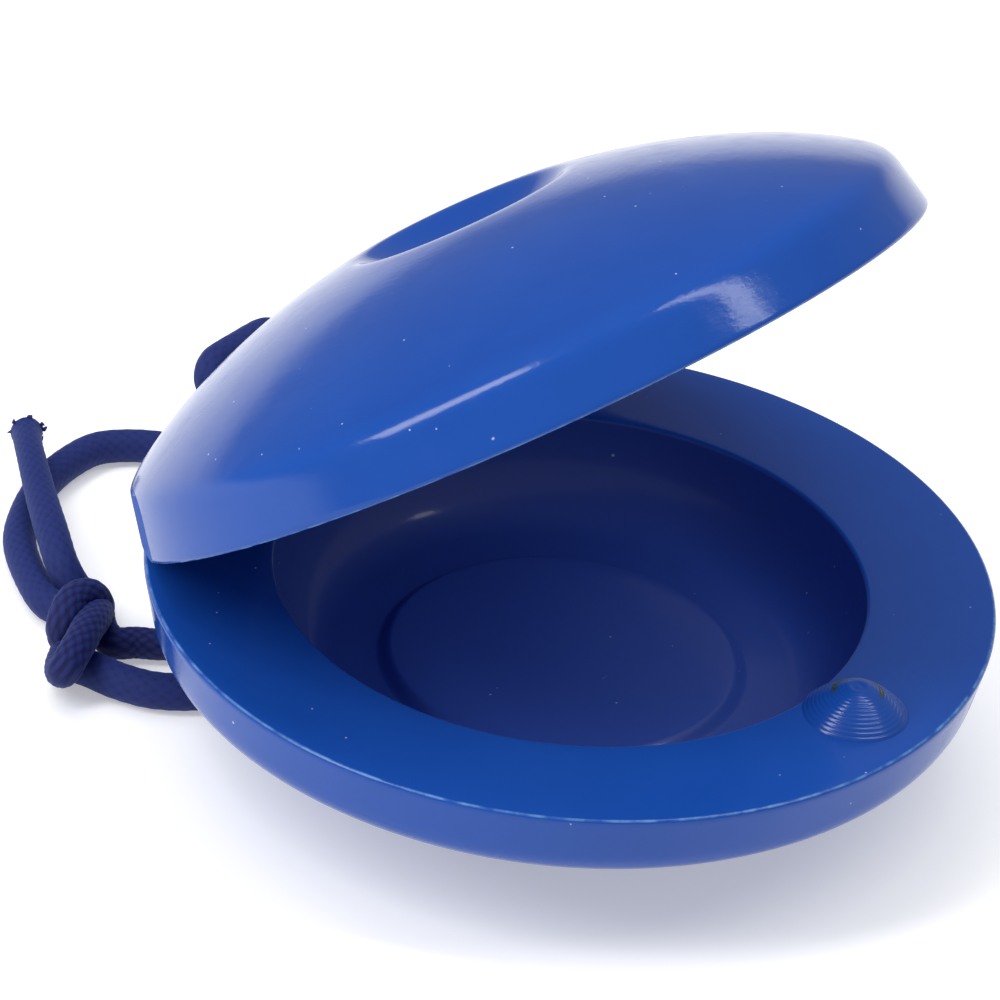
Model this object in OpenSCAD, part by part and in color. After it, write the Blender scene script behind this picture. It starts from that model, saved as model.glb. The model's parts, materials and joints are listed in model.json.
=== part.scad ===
// Finger castanets: two moulded plastic shells and one elastic cord.
// Millimetres, +Z up. The lower shell stands on the land round its finger dimple, at z = 0.
// +X points from the hinge to the striker nub, and the hinge line is parallel to Y.

/* [Shell] */
// Outer radius of a shell at its striking face
shell_r = 28.75; // [28:0.05:29.5]
// Radius of a shell where the side wall meets the dome
dome_r = 27.9; // [27.5:0.05:28]
// Height of the side wall
wall_h = 4.2; // [4:0.1:4.6]
// Height that the dome would reach over the face without its dimple
dome_top = 12.7; // [12.4:0.1:13]
// Radius of the small round on the shell's edges
edge_round = 0.35; // [0.2:0.05:0.5]

/* [Finger dimple] */
// Outer radius of the flat land round the dimple
land_outer = 8.3; // [8:0.1:8.6]
// Inner radius of that land
land_inner = 7.5; // [7.2:0.1:7.7]
// Depth of the dimple under the land
dimple_depth = 2.6; // [2.2:0.1:2.8]

/* [Cup] */
// Radius of the cup's mouth in the striking face
cup_r = 20; // [19.5:0.1:20.3]
// Radius of the cup's flat floor
floor_r = 15.5; // [15:0.1:16]
// Depth of the cup's floor under the face
floor_depth = 7; // [6.8:0.1:7.2]
// Radius of the raised disc in the cup's floor
disc_r = 12; // [11.5:0.1:12.3]
// Height of the raised disc over the floor
disc_h = 0.8; // [0.6:0.1:1]

/* [Striker nub] */
// Distance of the nub in front of the lower shell's axis
nub_x = 23.4; // [23.2:0.1:23.8]
// Distance of the nub to the far side of the shell's middle plane
nub_side = 0.7; // [0:0.1:1]
// Radius of the nub's base
nub_base_r = 3.5; // [3.2:0.1:3.6]
// Radius of the nub's flat tip
nub_tip_r = 0.7; // [0.5:0.1:1]
// Height of the nub over the face
nub_h = 2.05; // [1.9:0.05:2.4]

/* [Hinge] */
// Distance of the hinge line from the shell's axis
hinge_x = 22.15; // [22:0.05:22.3]
// Angle of the flat bevel behind the hinge line, on each shell
bevel_angle = 18.8; // [18:0.1:19.5]
// Distance between the two faces at the hinge line
face_gap = 0.1; // [0.08:0.01:0.2]
// Distance of the cord holes from the shell's axis, across the hinge line
hole_x = 25; // [24.9:0.1:25.1]
// Distance between the two cord holes
hole_spacing = 7.6; // [7:0.1:8]
// Radius of the cord holes
hole_r = 1.4; // [1.35:0.05:1.5]

/* [Cord] */
// Diameter of the elastic cord
cord_d = 2.3; // [2.1:0.1:2.3]

/* [Hidden] */
shell_blue = [0.06, 0.24, 0.66];
cord_navy = [0.09, 0.11, 0.36];

// The land and the dome's outline above the face, both from the shell's own axis.
dome_power = 0.85;
function dome_h(r) = wall_h + (dome_top - wall_h) * pow(1 - pow(min(r / dome_r, 1), 2), dome_power);
stand_h = dome_h(land_outer);
dimple_ball_r = (pow(land_inner, 2) + pow(dimple_depth, 2)) / (2 * dimple_depth);
function dimple_h(r) = stand_h - dimple_depth + dimple_ball_r
    - sqrt(pow(dimple_ball_r, 2) - pow(r, 2));

// The shell's axis stands a little in front of the middle of the footprint, because the
// tilted upper shell reaches out further behind than the lower one.
open_angle = 2 * bevel_angle;
rear_reach = hinge_x + (dome_r - hinge_x) * cos(open_angle) + wall_h * sin(open_angle);
shell_x = (rear_reach - shell_r) / 2;

// The flat that the trimmed moulding gate leaves on the side wall.
gate_at = -131;
gate_cut = 0.35;
gate_block = [2, 10, wall_h + 1.2];
wall_draft = atan((shell_r - dome_r) / wall_h);

// How finely the outlines are drawn
dome_steps = 16;
cup_steps = 10;
dimple_steps = 6;
round_steps = 3;
dome_crowding = 1.5;
bore_fn = 32;

// Cord routes, from the shell's axis. The loop leaves the far hole, lies on the standing
// surface and turns into the knot; the lead does the same from the near hole.
cord_r = cord_d / 2;
hole_y = hole_spacing / 2;
loop_route = [
    [-25, 3.8, 10.4], [-25, 3.8, 8.5], [-25, 3.8, 6], [-25.3, 3.9, 4.2], [-26.4, 4.3, 2.6],
    [-28.5, 5.1, 1.6], [-31.5, 6.2, 1.3], [-34.6, 6.9, 1.2], [-37.5, 6.7, 1.2], [-39.7, 5.8, 1.2],
    [-41.6, 4.3, 1.2], [-42.9, 2.4, 1.2], [-43.1, -0.4, 1.2], [-42.5, -3.8, 1.2], [-40.9, -7.6, 1.2],
    [-38.8, -10.7, 1.2], [-34.5, -14, 1.2], [-32.7, -14.9, 1.2], [-31, -15.1, 1.2]
];
lead_route = [
    [-25, -3.8, 10.4], [-25, -3.8, 8.5], [-25, -3.8, 6], [-24.8, -3.9, 4.4], [-24.1, -4.6, 2.9],
    [-23, -6.2, 1.8], [-22.3, -8.2, 1.3], [-22.3, -10.3, 1.2], [-22.9, -12, 1.2], [-24, -13.3, 1.2],
    [-25.3, -14.3, 1.2], [-26.3, -15.4, 1.2]
];
tail_long_route = [
    [-31.8, -12.5, 1.3], [-32.3, -12.9, 2.1], [-33.4, -12.7, 3], [-35.6, -11.1, 3.5],
    [-39.1, -8.2, 3.6], [-42.5, -5.2, 3.6], [-44.6, -3.2, 3.3], [-46.1, -1.6, 2.9]
];
tail_short_route = [
    [-25.4, -19.1, 1.3], [-24.5, -19, 1.3], [-23.5, -18.9, 1.3], [-22.2, -18.6, 1.3],
    [-20.9, -18.1, 1.3], [-19.5, -17.1, 1.3], [-18.3, -15.8, 1.3], [-17.2, -14.4, 1.3]
];
// The bridge lies over the upper shell between its two holes, in that shell's own frame.
bridge_route = [
    [-25, -3.8, 1.7], [-25, -3.8, 4], [-25, -3.8, 6.6], [-25, -3.5, 7.5], [-25, -2.7, 8],
    [-25, -1.4, 8.1], [-25, 0, 8.1], [-25, 1.4, 8.1], [-25, 2.7, 8], [-25, 3.5, 7.5],
    [-25, 3.8, 6.6], [-25, 3.8, 4], [-25, 3.8, 1.7]
];
knot_balls = [
    [-30.9, -13.9, 2.4], [-28.6, -14.9, 2.4], [-29, -17.4, 2.4], [-26.6, -17, 2.4],
    [-26.2, -20.8, 2.4]
];
knot_ball_r = 2.3;

// One shell in its own frame: striking face at z = 0, dome upwards, hinge towards -X.
function arc(centre, r, from, to, n) =
    [for (i = [0 : n]) let (a = from + (to - from) * i / n) centre + r * [cos(a), sin(a)]];

// The raised disc's edge is an S of four points, from its top down to the cup's floor.
function disc_edge() =
    [for (k = [[0, 0], [0.5, 0], [1, 0.15], [1.7, 1]])
        [disc_r + disc_h * (k[0] - 0.5), floor_depth - disc_h * (1 - k[1])]];

function shell_outline() = concat(
    [[0, floor_depth - disc_h]],
    disc_edge(),
    [for (i = [0 : cup_steps]) let (a = 90 * (1 - i / cup_steps))
        [floor_r + (cup_r - floor_r) * cos(a), edge_round + (floor_depth - edge_round) * sin(a)]],
    arc([cup_r + edge_round, edge_round], edge_round, 180, 270, round_steps),
    arc([shell_r - edge_round, edge_round], edge_round, -90, 0, round_steps),
    [for (i = [0 : dome_steps])
        let (t = 1 - pow(1 - i / dome_steps, dome_crowding), r = dome_r + (land_outer - dome_r) * t)
        [r, dome_h(r)]],
    [for (i = [0 : dimple_steps]) let (r = land_inner * (1 - i / dimple_steps)) [r, dimple_h(r)]]
);

module cord_holes() {
    for (side = [-1, 1])
        translate([-hole_x, side * hole_y, -1])
            cylinder(r = hole_r, h = dome_top + 1, $fn = bore_fn);
}

// Only the lower shell has a nub; the upper one strikes it with its flat face.
module nub() {
    translate([nub_x, -nub_side, -nub_h])
        cylinder(r1 = nub_tip_r, r2 = nub_base_r, h = nub_h + edge_round, $fn = 48);
}

module half_shell() {
    bevel_len = 2 * (shell_r - hinge_x);
    difference() {
        rotate_extrude($fn = 96) polygon(shell_outline());
        translate([-hinge_x, 0, 0])
            rotate([0, bevel_angle, 0])
                translate([-bevel_len, -shell_r, -bevel_len])
                    cube([bevel_len, 2 * shell_r, bevel_len]);
        cord_holes();
        rotate([0, 0, gate_at])
            translate([shell_r - gate_cut, 0, 0])
                rotate([0, -wall_draft, 0])
                    translate([0, -gate_block[1] / 2, -1])
                        cube(gate_block);
    }
}

// Places a part that is drawn in the lower shell's frame, or in the upper shell's.
module at_lower() {
    translate([shell_x, 0, stand_h]) children();
}

module at_upper() {
    translate([shell_x - hinge_x, 0, stand_h + face_gap / 2])
        rotate([0, -open_angle, 0])
            translate([hinge_x, 0, face_gap / 2]) children();
}

// A round tube of 8 sides along a list of points.
tube_sides = 8;
function unit(v) = v / norm(v);
function tangent(p, i) = unit(p[min(i + 1, len(p) - 1)] - p[max(i - 1, 0)]);
function side_of(t, last) = unit(last - (last * t) * t);
function sides(p, i, last) = i == len(p) ? [] :
    let (s = side_of(tangent(p, i), last)) concat([s], sides(p, i + 1, s));
module tube(p, r) {
    s = sides(p, 0, abs(tangent(p, 0)[0]) < 0.9 ? [1, 0, 0] : [0, 1, 0]);
    points = [for (i = [0 : len(p) - 1]) for (k = [0 : tube_sides - 1])
        let (t = tangent(p, i), a = 360 * k / tube_sides)
        p[i] + r * (cos(a) * s[i] + sin(a) * cross(t, s[i]))];
    last = (len(p) - 1) * tube_sides;
    faces = concat(
        [[for (k = [tube_sides - 1 : -1 : 0]) k]],
        [[for (k = [0 : tube_sides - 1]) last + k]],
        [for (i = [0 : len(p) - 2]) for (k = [0 : tube_sides - 1])
            let (a = i * tube_sides + k, b = i * tube_sides + (k + 1) % tube_sides)
            [a, b, b + tube_sides, a + tube_sides]]);
    polyhedron(points, [for (f = faces) [for (k = [len(f) - 1 : -1 : 0]) f[k]]]);
}

module lower_shell() {
    color(shell_blue) at_lower() rotate([180, 0, 0]) {
        half_shell();
        nub();
    }
}

module upper_shell() {
    color(shell_blue) at_upper() half_shell();
}

module cord_bridge() {
    color(cord_navy) at_upper() tube(bridge_route, cord_r);
}

module lying_cord(route) {
    color(cord_navy) translate([shell_x, 0, 0]) tube(route, cord_r);
}

module cord_loop() {
    lying_cord(loop_route);
}

module cord_lead() {
    lying_cord(lead_route);
}

module cord_knot() {
    color(cord_navy) translate([shell_x, 0, 0])
        hull() for (c = knot_balls) translate(c) sphere(r = knot_ball_r, $fn = 24);
}

module tail_long() {
    lying_cord(tail_long_route);
}

module tail_short() {
    lying_cord(tail_short_route);
}

lower_shell();
upper_shell();
cord_bridge();
cord_loop();
cord_lead();
cord_knot();
tail_long();
tail_short();
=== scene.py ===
# Finger castanets: two moulded plastic shells, laced together with one knotted braided elastic.
# Metres in the scene; the dictionaries give millimetres and degrees, which read more easily.
import json
import math

import bpy
from mathutils import Matrix
import numpy as np


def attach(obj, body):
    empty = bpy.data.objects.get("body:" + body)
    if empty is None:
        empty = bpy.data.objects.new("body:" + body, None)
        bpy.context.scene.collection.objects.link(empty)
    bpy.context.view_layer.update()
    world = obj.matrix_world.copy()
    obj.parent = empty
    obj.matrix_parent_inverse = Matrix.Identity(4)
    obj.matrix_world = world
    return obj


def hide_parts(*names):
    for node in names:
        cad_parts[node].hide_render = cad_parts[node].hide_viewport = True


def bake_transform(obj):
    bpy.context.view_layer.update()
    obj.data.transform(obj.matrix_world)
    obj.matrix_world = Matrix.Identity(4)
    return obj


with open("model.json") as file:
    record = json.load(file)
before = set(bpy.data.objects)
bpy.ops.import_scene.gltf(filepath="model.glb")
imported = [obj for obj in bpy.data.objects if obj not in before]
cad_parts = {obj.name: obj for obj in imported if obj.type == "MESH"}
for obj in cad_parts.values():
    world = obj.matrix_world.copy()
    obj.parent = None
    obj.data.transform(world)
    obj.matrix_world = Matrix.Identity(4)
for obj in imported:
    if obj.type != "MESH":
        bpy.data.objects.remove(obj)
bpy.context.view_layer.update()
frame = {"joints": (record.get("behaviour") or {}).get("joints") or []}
mm = 0.001

# The hinge line, and each shell's own frame: striking face at z = 0, dome upwards, nub towards +x.
hinge = np.array(frame["joints"][0]["pos_m"]) / mm
shell = {
    "radius": 28.75,
    "domeRadius": 27.9,
    "wallHeight": 4.2,
    "domeTop": 12.7,
    "domePower": 0.85,
    "landRadius": 8.3,
    "dimpleRadius": 7.5,
    "dimpleDepth": 2.6,
    "cupRadius": 20.0,
    "floorRadius": 15.5,
    "floorDepth": 7.0,
    "discRadius": 12.0,
    "discHeight": 0.8,
    "edgeRound": 0.3,
    "flankStep": 0.3,
    "shoulderEasing": 9,  # rounds of averaging where wall and dome meet
    "hingeToAxis": 22.15,
    "bevelAngle": 18.8,
    "faceGap": 0.1,
    "gateAt": -131,
    "gateCut": 0.35,
    "holeX": -25.0,
    "holeY": 3.8,
    "holeRadius": 1.4,
    "aroundSteps": 360,
}
axisX = hinge[0] + shell["hingeToAxis"]
standHeight = hinge[2] - shell["faceGap"] / 2


def turnAboutY(degrees):
    # rotation matrix about y, by the right-hand rule
    a = math.radians(degrees)
    return np.array([[math.cos(a), 0, math.sin(a)], [0, 1, 0], [-math.sin(a), 0, math.cos(a)]])


def toLower(points):
    # the lower shell is the same moulding turned over about x
    return points * [1, -1, -1] + [axisX, 0, standHeight]


def toUpper(points):
    # the upper shell is turned up about the hinge line by both bevels together
    fromHinge = points + [shell["hingeToAxis"], 0, shell["faceGap"] / 2]
    return fromHinge @ turnAboutY(-2 * shell["bevelAngle"]).T + hinge


# The camera, in millimetres and degrees.
view = {
    "azimuth": 35.1,
    "elevation": 32.78,
    "roll": 5.85,
    "distance": 677.5,
    "lens": 359.06,
    "aim": (-9.18, 3.91, 0.0),  # counted from the lower shell's axis, at its face
}


def facing(azimuth, elevation, roll):
    # right, up and back directions of a camera or lamp that stands at those angles and faces the
    # middle; azimuth counts from the front towards +x, and roll turns it about its own line:
    # back = (sin a cos e, -cos a cos e, sin e), above = back x level, then both turn by the roll
    a, e, r = np.radians([azimuth, elevation, roll])
    back = np.array([math.sin(a) * math.cos(e), -math.cos(a) * math.cos(e), math.sin(e)])
    level = np.array([math.cos(a), math.sin(a), 0.0])
    above = np.cross(back, level)
    right = level * math.cos(r) + above * math.sin(r)
    return right, above * math.cos(r) - level * math.sin(r), back


def makeCamera():
    # place = aim + back * distance, with the camera's axes as the columns of its pose
    right, up, back = facing(view["azimuth"], view["elevation"], view["roll"])
    place = np.array(view["aim"]) + [axisX, 0, standHeight] + back * view["distance"]
    data = bpy.data.cameras.new("camera")
    data.lens = view["lens"]
    data.clip_start, data.clip_end = 0.01, 20
    camera = bpy.data.objects.new("camera", data)
    pose = np.eye(4)
    pose[:3, 0], pose[:3, 1], pose[:3, 2], pose[:3, 3] = right, up, back, place * mm
    camera.matrix_world = Matrix(pose.tolist())
    bpy.context.scene.collection.objects.link(camera)
    bpy.context.scene.camera = camera


makeCamera()
print("camera placed")


class Nodes:
    # short ways to add nodes to one material's tree; a number or a link may stand for any input
    def __init__(self, name):
        self.material = bpy.data.materials.new(name)
        self.material.use_nodes = True
        self.tree = self.material.node_tree
        self.surface = self.tree.nodes["Principled BSDF"]

    def put(self, socket, value):
        if isinstance(value, bpy.types.NodeSocket):
            self.tree.links.new(value, socket)
        else:
            socket.default_value = value

    def node(self, kind, *values, **settings):
        node = self.tree.nodes.new(kind)
        for key, value in settings.items():
            setattr(node, key, value)
        for socket, value in zip(node.inputs, values):
            if value is not None:
                self.put(socket, value)
        return node

    def math(self, operation, *values, clamp=False):
        return self.node("ShaderNodeMath", *values, operation=operation, use_clamp=clamp).outputs[0]

    def plus(self, first, *others, clamp=False):
        # all of them added up, held between 0 and 1 if asked
        for value in others:
            first = self.math("ADD", first, value, clamp=clamp)
        return first

    def minus(self, value, taken):
        return self.math("SUBTRACT", value, taken)

    def times(self, first, *others):
        for value in others:
            first = self.math("MULTIPLY", first, value)
        return first

    def size(self, value):
        return self.math("ABSOLUTE", value)

    def length(self, x, y):
        # the square root of x squared plus y squared
        return self.math("SQRT", self.plus(self.times(x, x), self.times(y, y)))

    def along(self, x, y, degrees):
        # how far the point lies in the direction at that angle from x
        a = math.radians(degrees)
        return self.plus(self.times(x, math.cos(a)), self.times(y, math.sin(a)))

    def noise(self, at, scale, detail=2.0):
        node = self.node("ShaderNodeTexNoise")
        for key, value in (("Vector", at), ("Scale", scale), ("Detail", detail)):
            self.put(node.inputs[key], value)
        return node.outputs["Fac"]

    def step(self, value, low, high):
        # 0 below low and 1 above high, or the other way round, with a soft run between
        node = self.node("ShaderNodeMapRange", interpolation_type="SMOOTHSTEP")
        self.put(node.inputs["Value"], value)
        self.put(node.inputs["From Min"], min(low, high))
        self.put(node.inputs["From Max"], max(low, high))
        self.put(node.inputs["To Min"], 0.0 if low < high else 1.0)
        self.put(node.inputs["To Max"], 1.0 if low < high else 0.0)
        return node.outputs["Result"]

    def blend(self, share, under, over):
        node = self.node("ShaderNodeMix", data_type="RGBA")
        self.put(node.inputs["Factor"], share)
        self.put(node.inputs["A"], under)
        self.put(node.inputs["B"], over)
        return node.outputs["Result"]

    def specks(self, at, scale, size, rarity, stretch=(1, 1, 1), turn=(0, 0, 0)):
        # small marks at the feature points of some Voronoi cells, stretched into hairs if asked
        moved = self.node("ShaderNodeMapping", at, None, turn, stretch).outputs[0]
        cells = self.node("ShaderNodeTexVoronoi", moved, None, scale)
        chosen = self.node("ShaderNodeSeparateColor", cells.outputs["Color"]).outputs[0]
        return self.times(self.step(cells.outputs["Distance"], size, size * 0.4),
                          self.step(chosen, rarity, rarity + 0.02))


# The colours and the finish of both shells; widths and heights in millimetres.
plastic = {
    "blue": (0.0085, 0.066, 0.35, 1),
    # painted shade: the dome and its shoulder take a darker blue than the face, as if less lit
    "domeShadeBlue": (0.0064, 0.051, 0.28, 1),
    "domeShadeShare": 0.8,
    "cloudBlue": (0.014, 0.092, 0.44, 1),
    "cloudShare": 0.16,
    # painted reflection: a greyer, redder blue in the cup stands in for the grey haze reflected in its
    # shaded hollow
    "cupReflectionBlue": (0.028, 0.075, 0.37, 1),
    "wornEdge": (0.2, 0.43, 0.75, 1),
    "wornShare": 0.6,
    "wearWidth": 0.17,
    "dust": (0.55, 0.62, 0.85, 1),
    "dustShare": 0.8,
    "roughness": 0.14,
    "rubbedDull": 0.07,
    "cupDull": 0.33,
    "gateDull": 0.6,
    "wornDull": 0.3,
    "cupCoat": 0.25,
    "specular": 0.4,
    "ior": 1.42,
    "ringHeight": 0.0012,
    "waveHeight": 0.05,
    "scratchHeight": 0.006,
    "rubAt": -15,        # degrees round the shell, measured from the front
    "rubWidth": 6.5,
    "rubHeight": 0.03,
}


def ownFrame(n, shift, turn):
    # shift and turn bring the scene's place back to the shell's own frame, here in millimetres
    where = n.node("ShaderNodeTexCoord").outputs["Object"]
    own = n.node("ShaderNodeMapping", where, tuple(shift * mm), turn).outputs[0]
    own = n.node("ShaderNodeVectorMath", own, (1000, 1000, 1000), operation="MULTIPLY").outputs[0]
    x, y, z = n.node("ShaderNodeSeparateXYZ", own).outputs
    return own, x, y, z


def shellRelief(n, own, x, y, r):
    # height = faint cutter rings, a sine of the radius, plus the moulded skin's slow waves, fine
    # scratches in patches, and hairs where the side has been rubbed
    rings = n.times(n.math("SINE", n.times(r, 9.0)), plastic["ringHeight"])
    waves = n.times(n.noise(own, 0.35, 3.0), plastic["waveHeight"])
    brushed = n.node("ShaderNodeMapping", own, None, (0.2, 0.3, 0.7), (0.12, 1, 1)).outputs[0]
    scratches = n.times(n.step(n.noise(brushed, 2.6, 3.0), 0.52, 0.66),
                        n.step(n.noise(own, 0.11, 2.0), 0.45, 0.6), plastic["scratchHeight"])
    a = math.radians(plastic["rubAt"])
    away = n.length(n.minus(x, shell["radius"] * math.cos(a)), n.minus(y, shell["radius"] * math.sin(a)))
    hairs = n.node("ShaderNodeMapping", own, None, (0.5, 0, a), (1, 0.12, 1)).outputs[0]
    rub = n.times(n.noise(hairs, 5.0, 3.0), n.step(away, plastic["rubWidth"], 3.0), plastic["rubHeight"])
    bump = n.node("ShaderNodeBump")
    n.put(bump.inputs["Strength"], 0.35)
    n.put(bump.inputs["Distance"], mm)
    n.put(bump.inputs["Height"], n.plus(rings, n.plus(waves, scratches, rub)))
    return bump.outputs[0]


def shellPlastic(name, shift, turn):
    # each part of the shell is a mask of radius r and height z in the shell's own frame
    p = plastic
    n = Nodes(name)
    own, x, y, z = ownFrame(n, shift, turn)
    r = n.length(x, y)
    toEdge = n.length(n.minus(r, shell["radius"] - 0.09), z)
    worn = n.times(n.step(toEdge, p["wearWidth"], 0.06), n.step(n.noise(own, 0.8, 6.0), 0.3, 0.75))
    # painted shade: the dome and its shoulder, which are painted darker
    shadedDome = n.step(z, shell["wallHeight"] - 0.4, shell["wallHeight"] + 1.4)
    inCup = n.times(n.step(r, shell["cupRadius"] + 0.5, shell["cupRadius"] + 0.1),
                    n.step(z, 0.0, 0.3), n.step(z, shell["floorDepth"] + 0.5, shell["floorDepth"] + 0.2))
    draft = (shell["radius"] - shell["domeRadius"]) / shell["wallHeight"]
    fromGate = n.minus(n.plus(n.along(x, y, shell["gateAt"]), n.times(z, draft)),
                       shell["radius"] - shell["gateCut"])
    onGate = n.step(n.size(fromGate), 0.035, 0.02)
    cloudy = n.step(n.noise(own, 0.12, 3.0), 0.3, 0.75)
    specks = n.specks(own, 0.6, 0.055, 0.5)
    hairs = n.specks(own, 0.34, 0.05, 0.55, (1, 0.16, 1), (0.3, 0.2, 0.5))
    # each layer lies over the ones before it
    # painted shade darkens the dome and its shoulder
    colour = n.blend(n.times(shadedDome, p["domeShadeShare"]), p["blue"], p["domeShadeBlue"])
    colour = n.blend(n.times(cloudy, p["cloudShare"]), colour, p["cloudBlue"])
    # painted reflection: the cup takes its greyer blue
    colour = n.blend(inCup, colour, p["cupReflectionBlue"])
    colour = n.blend(n.times(worn, p["wornShare"]), colour, p["wornEdge"])
    colour = n.blend(n.times(n.plus(specks, hairs, clamp=True), p["dustShare"]), colour, p["dust"])
    n.put(n.surface.inputs["Base Color"], colour)
    # the cup is duller under a thin gloss, and the trimmed gate's flat is matt
    rubbed = n.step(n.noise(own, 0.5, 5.0), 0.45, 0.75)
    dull = n.plus(n.times(rubbed, p["rubbedDull"]), n.times(inCup, p["cupDull"]),
                  n.times(onGate, p["gateDull"]), n.times(worn, p["wornDull"]))
    n.put(n.surface.inputs["Roughness"], n.plus(dull, p["roughness"], clamp=True))
    n.put(n.surface.inputs["Specular IOR Level"], p["specular"])
    n.put(n.surface.inputs["IOR"], p["ior"])
    n.put(n.surface.inputs["Coat Weight"], n.times(inCup, p["cupCoat"]))
    n.put(n.surface.inputs["Coat Roughness"], p["roughness"])
    n.put(n.surface.inputs["Normal"], shellRelief(n, own, x, y, r))
    return n.material


nub = {
    "x": 23.4,
    "side": 0.7,         # off the middle plane, away from the near side
    "baseRadius": 3.55,
    "tipRadius": 0.68,
    "height": 2.05,
    "steps": 12,
    "swell": 1.45,       # 1 is a plain cone; more rounds its side outwards
    "dirtRadius": 1.6,
    "dirtTowards": -124.8,
    "dirt": (0.03, 0.05, 0.02, 1),
}


def nubPlastic(name, shift, turn):
    # the shell's blue with the grey-green ring that the turned nub keeps round the rear of its tip
    n = Nodes(name)
    own, x, y = ownFrame(n, shift, turn)[:3]
    x = n.minus(x, nub["x"])
    y = n.plus(y, nub["side"])
    fromRing = n.size(n.minus(n.length(x, y), nub["dirtRadius"]))
    dirt = n.times(n.step(fromRing, 0.26, 0.12), n.step(n.noise(own, 3.0, 3.0), 0.3, 0.5),
                   n.step(n.along(x, y, nub["dirtTowards"]), -0.9, 0.2))
    n.put(n.surface.inputs["Base Color"], n.blend(dirt, plastic["blue"], nub["dirt"]))
    n.put(n.surface.inputs["Roughness"], 0.2)
    n.put(n.surface.inputs["IOR"], plastic["ior"])
    return n.material


braid = {
    # painted shade: the colour in the grooves between strands
    "groove": (0.008, 0.009, 0.06, 1),
    "crown": (0.013, 0.025, 0.135, 1),
    "sheen": (0.2, 0.3, 0.8, 1),
}


def cordFabric():
    # dark blue yarn with painted shade in the grooves between strands, a fine fibre bump and a soft
    # sheen
    n = Nodes("elastic braid")
    weave = n.node("ShaderNodeUVMap", uv_map="weave").outputs[0]
    height = n.node("ShaderNodeAttribute", attribute_name="height").outputs["Fac"]
    where = n.node("ShaderNodeTexCoord").outputs["Object"]
    fibres = n.noise(where, 5000.0, 3.0)
    # painted shade: darker where the braid's height is low, in the grooves between strands
    tone = n.times(height, n.plus(n.times(fibres, 0.5), 0.75))
    colour = n.blend(n.step(tone, 0.25, 1.0), braid["groove"], braid["crown"])
    n.put(n.surface.inputs["Base Color"], colour)
    n.put(n.surface.inputs["Roughness"], 0.75)
    n.put(n.surface.inputs["Specular IOR Level"], 0.25)
    n.put(n.surface.inputs["Sheen Weight"], 0.25)
    n.put(n.surface.inputs["Sheen Roughness"], 0.4)
    n.put(n.surface.inputs["Sheen Tint"], braid["sheen"])
    bump = n.node("ShaderNodeBump")
    threads = n.node("ShaderNodeMapping", weave, None, (0, 0, 0.5), (60, 300, 1)).outputs[0]
    n.put(bump.inputs["Strength"], 0.4)
    n.put(bump.inputs["Distance"], 0.03 * mm)
    n.put(bump.inputs["Height"], n.noise(threads, 1.0, 2.0))
    n.put(n.surface.inputs["Normal"], bump.outputs[0])
    return n.material


# The cord, in millimetres.
cord = {
    "diameter": 2.3,
    "strands": 10,         # that turn each way round
    "strandLength": 0.5,   # along the cord, from one crossing to the next
    "grooveDepth": 0.07,
    "slackRelief": 0.65,   # share of the groove's depth where the cord lies free, not bent in the knot
    "knotRelief": 1.6,
    "ringStep": 0.09,
    "ringPoints": 64,
}
cordRadius = cord["diameter"] / 2

# Route points, counted from the lower shell's axis on the standing surface.
loopRoute = [
    (-25, 3.8, 10.4), (-25, 3.8, 8.5), (-25, 3.8, 6), (-25.3, 3.9, 4.2), (-26.4, 4.3, 2.6),
    (-28.5, 5.1, 1.6), (-31.5, 6.2, 1.3), (-34.6, 6.9, 1.2), (-37.5, 6.7, 1.2), (-39.7, 5.8, 1.2),
    (-41.6, 4.3, 1.2), (-42.9, 2.4, 1.2), (-43.1, -0.4, 1.2), (-42.5, -3.8, 1.2), (-40.9, -7.6, 1.2),
    (-38.8, -10.7, 1.2), (-34.5, -14, 1.2), (-32.7, -14.9, 1.2), (-31, -15.1, 1.2),
]
leadRoute = [
    (-25, -3.8, 10.4), (-25, -3.8, 8.5), (-25, -3.8, 6), (-24.8, -3.9, 4.4), (-24.1, -4.6, 2.9),
    (-23, -6.2, 1.8), (-22.3, -8.2, 1.3), (-22.3, -10.3, 1.2), (-22.9, -12, 1.2), (-24, -13.3, 1.2),
    (-25.3, -14.3, 1.2), (-26.3, -15.4, 1.2),
]
tailLongRoute = [
    (-31.8, -12.5, 1.3), (-32.3, -12.9, 2.1), (-33.4, -12.7, 3), (-35.6, -11.1, 3.5),
    (-39.1, -8.2, 3.6), (-42.5, -5.2, 3.6), (-44.6, -3.2, 3.3), (-46.1, -1.6, 2.9),
]
tailShortRoute = [
    (-25.4, -19.1, 1.3), (-24.5, -19, 1.3), (-23.5, -18.9, 1.3), (-22.2, -18.6, 1.3),
    (-20.9, -18.1, 1.3), (-19.5, -17.1, 1.3), (-18.3, -15.8, 1.3), (-17.2, -14.4, 1.3),
]
bridgeRoute = [
    (-25, -3.8, 1.7), (-25, -3.8, 4), (-25, -3.8, 6.6), (-25, -3.5, 7.5), (-25, -2.7, 8),
    (-25, -1.4, 8.1), (-25, 0, 8.1), (-25, 1.4, 8.1), (-25, 2.7, 8), (-25, 3.5, 7.5),
    (-25, 3.8, 6.6), (-25, 3.8, 4), (-25, 3.8, 1.7),
]
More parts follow.
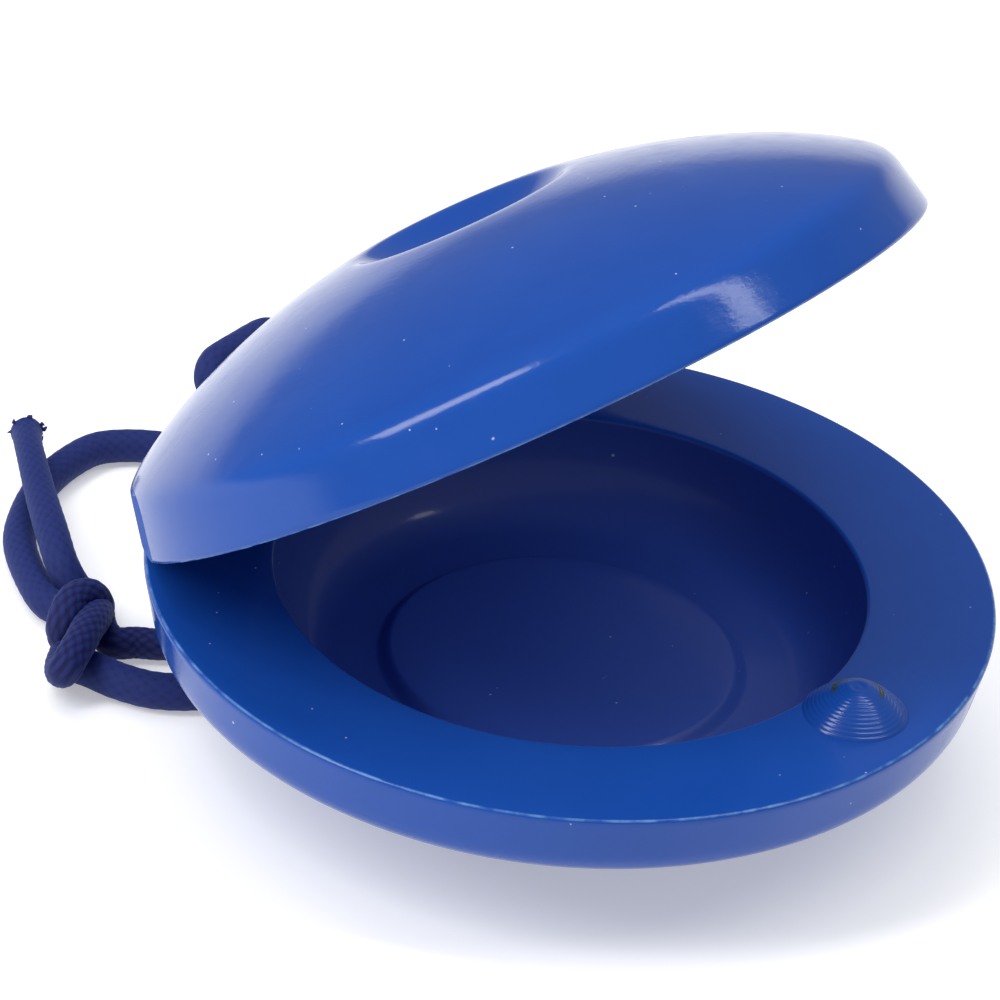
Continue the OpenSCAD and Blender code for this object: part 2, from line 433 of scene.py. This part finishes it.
# The knot's turns: each rope is bent back on itself, and each bend lies over the other's two legs.
loopTurn = [
    (-30, -15.6, 1.1), (-28.9, -16.9, 1.1), (-27.8, -18.7, 1.2), (-26.9, -20.2, 1.5),
    (-25.8, -21.6, 2.1), (-25.1, -22.1, 2.9), (-25.3, -21.2, 3.4), (-25.8, -19.8, 3.6),
    (-26.6, -18.1, 3.5), (-27.7, -15.9, 2.9), (-29.2, -13.9, 2), (-30.8, -12.5, 1.2),
]
leadTurn = [
    (-27.1, -15.2, 1.2), (-28.2, -14.6, 1.3), (-28.7, -14.3, 1.9), (-28.9, -14.2, 2.6),
    (-29.1, -14.5, 3.2), (-29.2, -15, 3.6), (-29.3, -15.9, 3.8), (-29.2, -16.8, 3.7),
    (-28.9, -17.6, 3.4), (-28.7, -18.1, 2.8), (-28.6, -18, 2), (-28.2, -17.9, 1.3),
    (-27.1, -18.5, 1.2), (-26, -19.1, 1.2),
]


def smoothLine(points, step):
    # centripetal Catmull-Rom curve through the points, then evenly spaced again: three rounds of
    # blending between neighbours, each by the share of the knot interval that it spans
    p = np.array(points, float)
    p = np.vstack([2 * p[0] - p[1], p, 2 * p[-1] - p[-2]])
    t = np.concatenate([[0], np.cumsum(np.sqrt(np.linalg.norm(np.diff(p, axis=0), axis=1)))])
    at = np.linspace(t[1], t[-2], 60 * len(p))
    i = np.clip(np.searchsorted(t, at, side="right") - 1, 1, len(p) - 3)

    def between(a, b, ta, tb):
        share = ((at - ta) / (tb - ta))[:, None]
        return a * (1 - share) + b * share

    a1 = between(p[i - 1], p[i], t[i - 1], t[i])
    a2 = between(p[i], p[i + 1], t[i], t[i + 1])
    a3 = between(p[i + 1], p[i + 2], t[i + 1], t[i + 2])
    b1 = between(a1, a2, t[i - 1], t[i + 1])
    b2 = between(a2, a3, t[i], t[i + 2])
    return evenly(between(b1, b2, t[i], t[i + 1]), step)


def evenly(line, step):
    # the same line at equal steps: each coordinate read off against the length travelled
    along = np.concatenate([[0], np.cumsum(np.linalg.norm(np.diff(line, axis=0), axis=1))])
    at = np.linspace(0, along[-1], int(round(along[-1] / step)) + 1)
    return np.column_stack([np.interp(at, along, values) for values in line.T])


def framesAlong(line):
    # tangents, and a side vector carried from ring to ring without twist: side = the last side
    # less its part along the tangent, made one long again
    ahead = np.gradient(line, axis=0)
    ahead /= np.linalg.norm(ahead, axis=1, keepdims=True)
    side = np.zeros_like(line)
    first = np.cross(ahead[0], [0.3, 0.5, 0.8])
    side[0] = first / np.linalg.norm(first)
    for i in range(1, len(line)):
        s = side[i - 1] - ahead[i] * (side[i - 1] @ ahead[i])
        side[i] = s / np.linalg.norm(s)
    return ahead, side, np.cross(ahead, side)


def braidHeight(turn, along):
    # two families of strands wind round in opposite senses; each strand's section is an arch, and
    # it dives under every second strand that it meets, so the higher of the two shows
    a = cord["strands"] * turn + along / (2 * cord["strandLength"])
    b = cord["strands"] * turn - along / (2 * cord["strandLength"])
    archA, archB = 1 - (2 * (a % 1) - 1) ** 2, 1 - (2 * (b % 1) - 1) ** 2
    overA = 0.5 + 0.5 * np.sin(math.pi * (b + np.floor(a)))
    overB = 0.5 - 0.5 * np.sin(math.pi * (a + np.floor(b)))
    return np.maximum(np.sqrt(archA) * (0.45 + 0.55 * overA), np.sqrt(archB) * (0.45 + 0.55 * overB))


def keptMesh(name, points, faces):
    # a smooth-shaded piece of those points, in metres, with its object at the origin
    mesh = bpy.data.meshes.new(name)
    mesh.from_pydata(points.tolist(), [], faces)
    mesh.shade_smooth()
    piece = bpy.data.objects.new(name, mesh)
    bpy.context.scene.collection.objects.link(piece)
    return piece


def gridFaces(rows, columns, start=0):
    # quads between the rings of a grid whose last column joins its first
    i, j = np.meshgrid(np.arange(rows - 1), np.arange(columns), indexing="ij")
    a = start + i * columns + j
    b = start + i * columns + (j + 1) % columns
    return np.stack([a, b, b + columns, a + columns], -1).reshape(-1, 4).tolist()


def braidedRope(name, line, thickness=((0, 1), (1, 1)), flare=0.0, knotted=(2, 3)):
    # rings of points round the line: point = line + radius * (cos * side + sin * other), where the
    # radius is the cord's less the grooves between its strands; both ends close with a middle
    # point, and the last one may flare like a cut braid
    line = evenly(line, cord["ringStep"])
    count = cord["ringPoints"]
    ahead, side, other = framesAlong(line)
    along = np.arange(len(line)) * cord["ringStep"]
    turn = np.arange(count) / count
    height = braidHeight(turn[None, :], along[:, None])
    share = along / along[-1]
    toKnot = np.clip(np.minimum(share - knotted[0], knotted[1] - share) * 25, 0, 1)
    relief = cord["slackRelief"] + (cord["knotRelief"] - cord["slackRelief"]) * toKnot
    height = 1 - (1 - height) * relief[:, None]
    radius = cordRadius + 0.02 - cord["grooveDepth"] * (1 - height)
    radius = radius * np.interp(share, *np.transpose(thickness))[:, None]
    radius = radius * (1 + flare * np.exp(-(along[-1] - along) / 0.8))[:, None]
    angle = 2 * math.pi * turn[None, :, None]
    rings = np.cos(angle) * side[:, None] + np.sin(angle) * other[:, None]
    points = line[:, None] + radius[..., None] * rings
    caps = [line[0] - ahead[0] * 0.12, line[-1] + ahead[-1] * 0.12]
    points = np.vstack([points.reshape(-1, 3), caps])
    last = (len(line) - 1) * count
    total = len(line) * count
    k = np.arange(count)
    near = np.stack([(k + 1) % count, k, np.full(count, total)], -1).tolist()
    far = np.stack([last + k, last + (k + 1) % count, np.full(count, total + 1)], -1).tolist()
    rope = keptMesh(name, points * mm, gridFaces(len(line), count) + near + far)
    mesh = rope.data
    uv = np.column_stack([np.tile(turn, len(line)), np.repeat(along / 10, count)])
    uv = np.vstack([uv, [0, 0], [0, along[-1] / 10]])
    corner = np.zeros(len(mesh.loops), np.int32)
    mesh.loops.foreach_get("vertex_index", corner)
    mesh.uv_layers.new(name="weave").data.foreach_set("uv", uv[corner].astype(np.float32).ravel())
    # the height values carry the painted groove shade to the material; both end caps take a dark 0.3
    tone = np.append(height.ravel(), [0.3, 0.3]).astype(np.float32)
    mesh.attributes.new("height", "FLOAT", "POINT").data.foreach_set("value", tone)
    mesh.materials.append(fabric)
    return rope


def ropeLine(points):
    # a route's smooth line, moved from the lower shell's axis to the scene's origin
    return smoothLine(points, cord["ringStep"]) + [axisX, 0, 0]


def declareRope(piece, line):
    # its length is the sum of the steps along its line, from where it leaves the shell
    path = line * mm
    length = float(np.linalg.norm(np.diff(path, axis=0), axis=1).sum())
    print(piece.name, "is", round(length * 1000, 1), "mm long")


fabric = cordFabric()
loopLine = ropeLine(loopRoute + loopTurn + tailLongRoute)
leadLine = ropeLine(leadRoute + leadTurn + tailShortRoute)
loopRope = braidedRope("loopRope", loopLine, ((0, 1), (0.86, 1), (0.96, 0.86), (1, 0.84)), 0.16,
                       (0.54, 0.8))
leadRope = braidedRope("leadRope", leadLine, ((0, 1), (0.35, 0.92), (0.6, 1), (0.8, 1.1), (1, 1.1)),
                       0.04, (0.38, 0.74))
for rope, line, nodes in ((loopRope, loopLine, ("cord_loop", "tail_long", "cord_knot")),
                          (leadRope, leadLine, ("cord_lead", "tail_short"))):
    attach(rope, "lower_shell")
    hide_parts(*nodes)

# The cut end of the long tail: short loose fibres that stand out round its rim.
fray = {
    "fibres": 26,
    "length": (0.15, 0.4),
    "width": 0.2,
    "spread": 0.7,       # how far a fibre may lean outwards, to 1 ahead
}


def frayedEnd(name, line):
    # each fibre is a bent three-sided spike, rooted on the end's disc and leaning outwards:
    # middle = root + lean * length * share + bend * share squared
    rng = np.random.default_rng(5)
    ahead, side, other = (v[-1] for v in framesAlong(line[-12:]))
    count = fray["fibres"]
    angle = rng.uniform(0, 2 * math.pi, count)
    out = np.cos(angle)[:, None] * side + np.sin(angle)[:, None] * other
    reach = cordRadius * np.sqrt(rng.uniform(0.3, 1, count))[:, None]
    root = line[-1] - ahead * 0.15 + out * reach * 1.05
    lean = ahead + out * rng.uniform(0.1, fray["spread"], count)[:, None]
    lean = lean + rng.normal(0, 0.2, (count, 3))
    length = rng.uniform(*fray["length"], count)[:, None]
    bend = rng.normal(0, 0.15, (count, 3))
    rings = []
    for share, width in ((0, 1), (0.35, 0.9), (0.7, 0.6)):
        middle = root + lean * length * share + bend * share * share
        for k in range(3):
            a = 2 * math.pi * k / 3
            rings.append(middle + (math.cos(a) * side + math.sin(a) * other) * fray["width"] * width)
    rings.append(root + lean * length + bend)
    points = np.stack(rings, 1).reshape(-1, 3)
    sides = [(r * 3 + k, r * 3 + (k + 1) % 3, r * 3 + 3 + (k + 1) % 3, r * 3 + 3 + k)
             for r in range(2) for k in range(3)]
    ends = [(6, 7, 9), (7, 8, 9), (8, 6, 9), (2, 1, 0)]
    start = np.arange(count)[:, None, None] * 10
    faces = (start + np.array(sides)).reshape(-1, 4).tolist()
    faces += (start + np.array(ends)).reshape(-1, 3).tolist()
    piece = keptMesh(name, points * mm, faces)
    # the fibres take little of the painted groove shade
    tone = np.full(len(points), 0.8, np.float32)
    piece.data.attributes.new("height", "FLOAT", "POINT").data.foreach_set("value", tone)
    piece.data.materials.append(fabric)
    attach(piece, "lower_shell")
    return piece


fringe = frayedEnd("tailFray", loopLine)
declareRope(loopRope, loopLine)
declareRope(leadRope, leadLine)

bridgeLine = toUpper(smoothLine(bridgeRoute, cord["ringStep"]))
bridge = braidedRope("bridgeRope", bridgeLine)
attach(bridge, "upper_shell")
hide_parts("cord_bridge")


def crossingLeg(name, sideways):
    # the short stretch of a strand through the wedge between the two bevels, a straight line from one
    # shell's hole to the other's
    low = toLower(np.array([[shell["holeX"], -sideways, 3.2], [shell["holeX"], -sideways, 1.4]]))
    high = toUpper(np.array([[shell["holeX"], sideways, 1.4], [shell["holeX"], sideways, 3.2]]))
    leg = braidedRope(name, smoothLine(np.vstack([low, high]), cord["ringStep"]))
    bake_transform(leg)


for side, name in ((1, "farLeg"), (-1, "nearLeg")):
    crossingLeg(name, side * shell["holeY"])
print("cord built")


def arcPoints(centre, radius, start, end, count):
    # point = centre + radius * (cos, sin) at equal angles from start to end
    a = np.radians(np.linspace(start, end, count))
    return np.column_stack([centre[0] + radius * np.cos(a), centre[1] + radius * np.sin(a)])


def domeHeight(r):
    # a flattened round: height = wall + (top - wall) * (1 - share squared) ** power
    share = np.clip(1 - (r / shell["domeRadius"]) ** 2, 0, 1)
    return shell["wallHeight"] + (shell["domeTop"] - shell["wallHeight"]) * share ** shell["domePower"]


def shellOutline():
    # radius and height from the cup's disc, out over the striking face, round to the finger dimple:
    # a quarter ellipse for the cup, arcs at its mouth and rim, the dome's curve, and a ball's cap
    s = shell
    e = s["edgeRound"]
    discTop = s["floorDepth"] - s["discHeight"]
    run = np.linspace(0, 1, 14)
    rise = run * run * (3 - 2 * run)
    disc = np.column_stack([s["discRadius"] + 1.1 * (run - 0.4), discTop + s["discHeight"] * rise])
    middle = np.column_stack([np.linspace(0, disc[0, 0], 18)[:-1], np.full(17, discTop)])
    a = np.radians(np.linspace(90, 0, 26))
    cup = np.column_stack([s["floorRadius"] + (s["cupRadius"] - s["floorRadius"]) * np.cos(a),
                           e + (s["floorDepth"] - e) * np.sin(a)])
    mouth = arcPoints((s["cupRadius"] + e, e), e, 180, 270, 7)[1:]
    face = np.column_stack([np.linspace(s["cupRadius"] + e, s["radius"] - e, 14)[1:-1], np.zeros(12)])
    rim = arcPoints((s["radius"] - e, e), e, -90, 0, 7)
    r = np.linspace(s["domeRadius"], s["landRadius"], 400)
    flank = evenly(np.vstack([rim[-1], np.column_stack([r, domeHeight(r)])]), s["flankStep"])
    shoulder = slice(1, 2 * int(s["wallHeight"] / s["flankStep"]))
    for k in range(s["shoulderEasing"]):  # the wall runs into the dome over a soft shoulder
        eased = (flank[:-2] + 2 * flank[1:-1] + flank[2:]) / 4
        flank[1:-1][shoulder] = eased[shoulder]
    ball = (s["dimpleRadius"] ** 2 + s["dimpleDepth"] ** 2) / (2 * s["dimpleDepth"])
    r = np.linspace(s["dimpleRadius"], 0, 26)
    dimple = np.column_stack([r, flank[-1, 1] - s["dimpleDepth"] + ball - np.sqrt(ball ** 2 - r ** 2)])
    crest = np.linspace(flank[-1], dimple[0], 5)[1:-1]
    top = np.vstack([flank[1:], crest, dimple])
    near = np.abs(top[:, 0] - s["landRadius"] + 0.4) < 1.6
    for k in range(3):  # soften the dimple's ridge
        eased = (top[:-2] + 2 * top[1:-1] + top[2:]) / 4
        top[1:-1][near[1:-1]] = eased[near[1:-1]]
    return np.vstack([middle, disc, cup, mouth, face, rim, top])


def revolved(outline, around):
    # rings for every outline point but the first and last, which lie on the axis and are one point
    a = 2 * math.pi * np.arange(around) / around
    body = outline[1:-1]
    rings = np.stack([body[:, :1] * np.cos(a), body[:, :1] * np.sin(a),
                      np.repeat(body[:, 1:], around, axis=1)], -1).reshape(-1, 3)
    points = np.vstack([rings, [0, 0, outline[0, 1]], [0, 0, outline[-1, 1]]])
    k = np.arange(around)
    first, last = len(rings), len(rings) - around
    faces = [q[::-1] for q in gridFaces(len(body), around)]
    faces += np.stack([k, (k + 1) % around, np.full(around, first)], -1).tolist()
    faces += np.stack([last + (k + 1) % around, last + k, np.full(around, first + 1)], -1).tolist()
    return points, faces


def block(low, high):
    # the eight corners of a box and its six faces, turned outwards
    x, y, z = np.meshgrid(*zip(low, high), indexing="ij")
    points = np.stack([x, y, z], -1).reshape(-1, 3).astype(float)
    return points, [(0, 1, 3, 2), (4, 6, 7, 5), (0, 4, 5, 1), (2, 3, 7, 6), (0, 2, 6, 4), (1, 5, 7, 3)]


def turnAboutZ(degrees):
    # rotation matrix about z, by the right-hand rule
    a = math.radians(degrees)
    return np.array([[math.cos(a), -math.sin(a), 0], [math.sin(a), math.cos(a), 0], [0, 0, 1]])


def cutters():
    # the rear bevel, the two cord holes and the trimmed gate's flat, in the shell's own frame
    s = shell
    points, faces = block((-20, -40, -20), (0, 40, 0))
    yield points @ turnAboutY(s["bevelAngle"]).T + [-s["hingeToAxis"], 0, 0], faces
    for y in (-s["holeY"], s["holeY"]):
        outline = np.array([[0, -2], [s["holeRadius"], -2], [s["holeRadius"], 20], [0, 20]])
        points, faces = revolved(outline, 48)
        yield points + [s["holeX"], y, 0], [f[::-1] for f in faces]
    draft = math.degrees(math.atan((s["radius"] - s["domeRadius"]) / s["wallHeight"]))
    points, faces = block((0, -5, -1), (2, 5, s["wallHeight"] + 0.2))
    points = points @ turnAboutY(-draft).T + [s["radius"] - s["gateCut"], 0, 0]
    yield points @ turnAboutZ(s["gateAt"]).T, faces


def cutShell(name, place):
    # the revolved moulding less its cutters; edges that turn by more than 30 degrees stay crisp
    points, faces = revolved(shellOutline(), shell["aroundSteps"])
    piece = keptMesh(name, place(points) * mm, faces)
    tools = []
    for k, (points, faces) in enumerate(cutters()):
        tool = keptMesh(name + "Cut" + str(k), place(points) * mm, faces)
        cut = piece.modifiers.new("cut", "BOOLEAN")
        cut.operation, cut.solver, cut.object = "DIFFERENCE", "EXACT", tool
        tools.append(tool)
    ready = piece.evaluated_get(bpy.context.evaluated_depsgraph_get())
    piece.data = bpy.data.meshes.new_from_object(ready)
    piece.modifiers.clear()
    for tool in tools:
        bpy.data.objects.remove(tool)
    piece.data.name = name
    piece.data.shade_smooth()
    piece.data.set_sharp_from_angle(angle=math.radians(30))
    return piece


def nubOutline():
    # a round-sided cone in turned steps, closed below its base: height = top * (1 - share ** swell)
    n = nub
    r = np.linspace(n["tipRadius"], n["baseRadius"], 120)
    share = (r - n["tipRadius"]) / (n["baseRadius"] - n["tipRadius"])
    rung = share * n["steps"]
    stepped = (np.floor(rung) + np.clip((rung % 1 - 0.35) / 0.65, 0, 1) ** 1.5) / n["steps"]
    height = n["height"] * (1 - (0.45 * stepped + 0.55 * share) ** n["swell"])
    side = np.column_stack([r, -height])[::-1]
    rim = [[n["tipRadius"] * 0.85, -n["height"] - 0.02], [n["tipRadius"] * 0.55, -n["height"] + 0.05],
           [n["tipRadius"] * 0.3, -n["height"] + 0.02], [0, -n["height"] + 0.02]]
    return np.vstack([[[0, 0.3], [n["baseRadius"], 0.3]], side, rim])


def nubPiece(name, place):
    # the outline turned round the nub's own axis, which stands in the shell's face
    points, faces = revolved(nubOutline(), 96)
    return keptMesh(name, place(points + [nub["x"], -nub["side"], 0]) * mm, [f[::-1] for f in faces])


opening = 2 * shell["bevelAngle"]
lowerShift = np.array([-axisX, 0, standHeight])
upperShift = -(turnAboutY(opening) @ hinge) - [shell["hingeToAxis"], 0, shell["faceGap"] / 2]
bodies = (
    # name, body, place, and the shift and turn back to the shell's own frame for its material
    ("lowerShell", "lower_shell", toLower, lowerShift, (math.pi, 0, 0)),
    ("upperShell", "upper_shell", toUpper, upperShift, (0, math.radians(opening), 0)),
)
for name, body, place, shift, turn in bodies:
    piece = cutShell(name, place)
    piece.data.materials.clear()
    piece.data.materials.append(shellPlastic(name + " plastic", shift, turn))
    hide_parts(body)
    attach(piece, body)
striker = nubPiece("striker", toLower)
striker.data.materials.append(nubPlastic("striker plastic", lowerShift, (math.pi, 0, 0)))
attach(striker, "lower_shell")
print("shells built")

# Floor, lights and world; the lights are in metres, degrees and watts.
studio = {
    "world": 0.32,
    "floor": (0.8, 0.8, 0.805, 1),
    "floorSize": 4.0,    # half its side, in metres
    "floorDrop": 0.02,   # below the standing surface, so that nothing flickers there
    "aimHeight": 20,
    # painted light: the floor's own glow, which washes out the shadows on it
    "floorGlow": 0.36,
    "lights": (
        # azimuth from the front, elevation, roll, distance, width, height, power, seen in the gloss
        (-28, 45, 0, 0.42, 0.105, 0.3, 1.05, True),
        (114, 62, 0, 0.42, 0.055, 0.32, 0.52, True),
        (-115, 68, 0, 0.9, 0.8, 0.8, 4.0, False),
        (-15, 12, 0, 0.9, 0.8, 0.5, 0.4, False),
    ),
}


def makeStage():
    # floor, softboxes and world; a softbox stands at centre + back * far and faces the centre
    size = studio["floorSize"]
    points = np.array([[-size, -size, 0], [size, -size, 0], [size, size, 0], [-size, size, 0]])
    floor = keptMesh("floor", points - [0, 0, studio["floorDrop"] * mm], [(0, 1, 2, 3)])
    n = Nodes("floor white")
    n.put(n.surface.inputs["Base Color"], studio["floor"])
    n.put(n.surface.inputs["Roughness"], 0.9)
    n.put(n.surface.inputs["Specular IOR Level"], 0.0)
    # painted light: the floor glows, which washes out the shadows on it and lights the shells from below
    n.put(n.surface.inputs["Emission Color"], (1, 1, 1, 1))
    n.put(n.surface.inputs["Emission Strength"], studio["floorGlow"])
    floor.data.materials.append(n.material)
    centre = np.array([0, 0, studio["aimHeight"] * mm])
    for k, (azimuth, elevation, roll, far, width, tall, power, shines) in enumerate(studio["lights"]):
        right, up, back = facing(azimuth, elevation, roll)
        pose = np.eye(4)
        pose[:3, 0], pose[:3, 1], pose[:3, 2] = right, up, back
        pose[:3, 3] = centre + back * far
        data = bpy.data.lights.new("softbox" + str(k), "AREA")
        data.shape, data.size, data.size_y, data.energy = "RECTANGLE", width, tall, power
        lamp = bpy.data.objects.new(data.name, data)
        lamp.matrix_world = Matrix(pose.tolist())
        lamp.visible_glossy = shines
        bpy.context.scene.collection.objects.link(lamp)
    world = bpy.data.worlds.new("studio")
    world.use_nodes = True
    sky = world.node_tree.nodes["Background"]
    sky.inputs["Color"].default_value = (1, 1, 1, 1)
    sky.inputs["Strength"].default_value = studio["world"]
    bpy.context.scene.world = world
    bpy.context.scene.view_settings.view_transform = "Standard"


makeStage()
print("stage built")
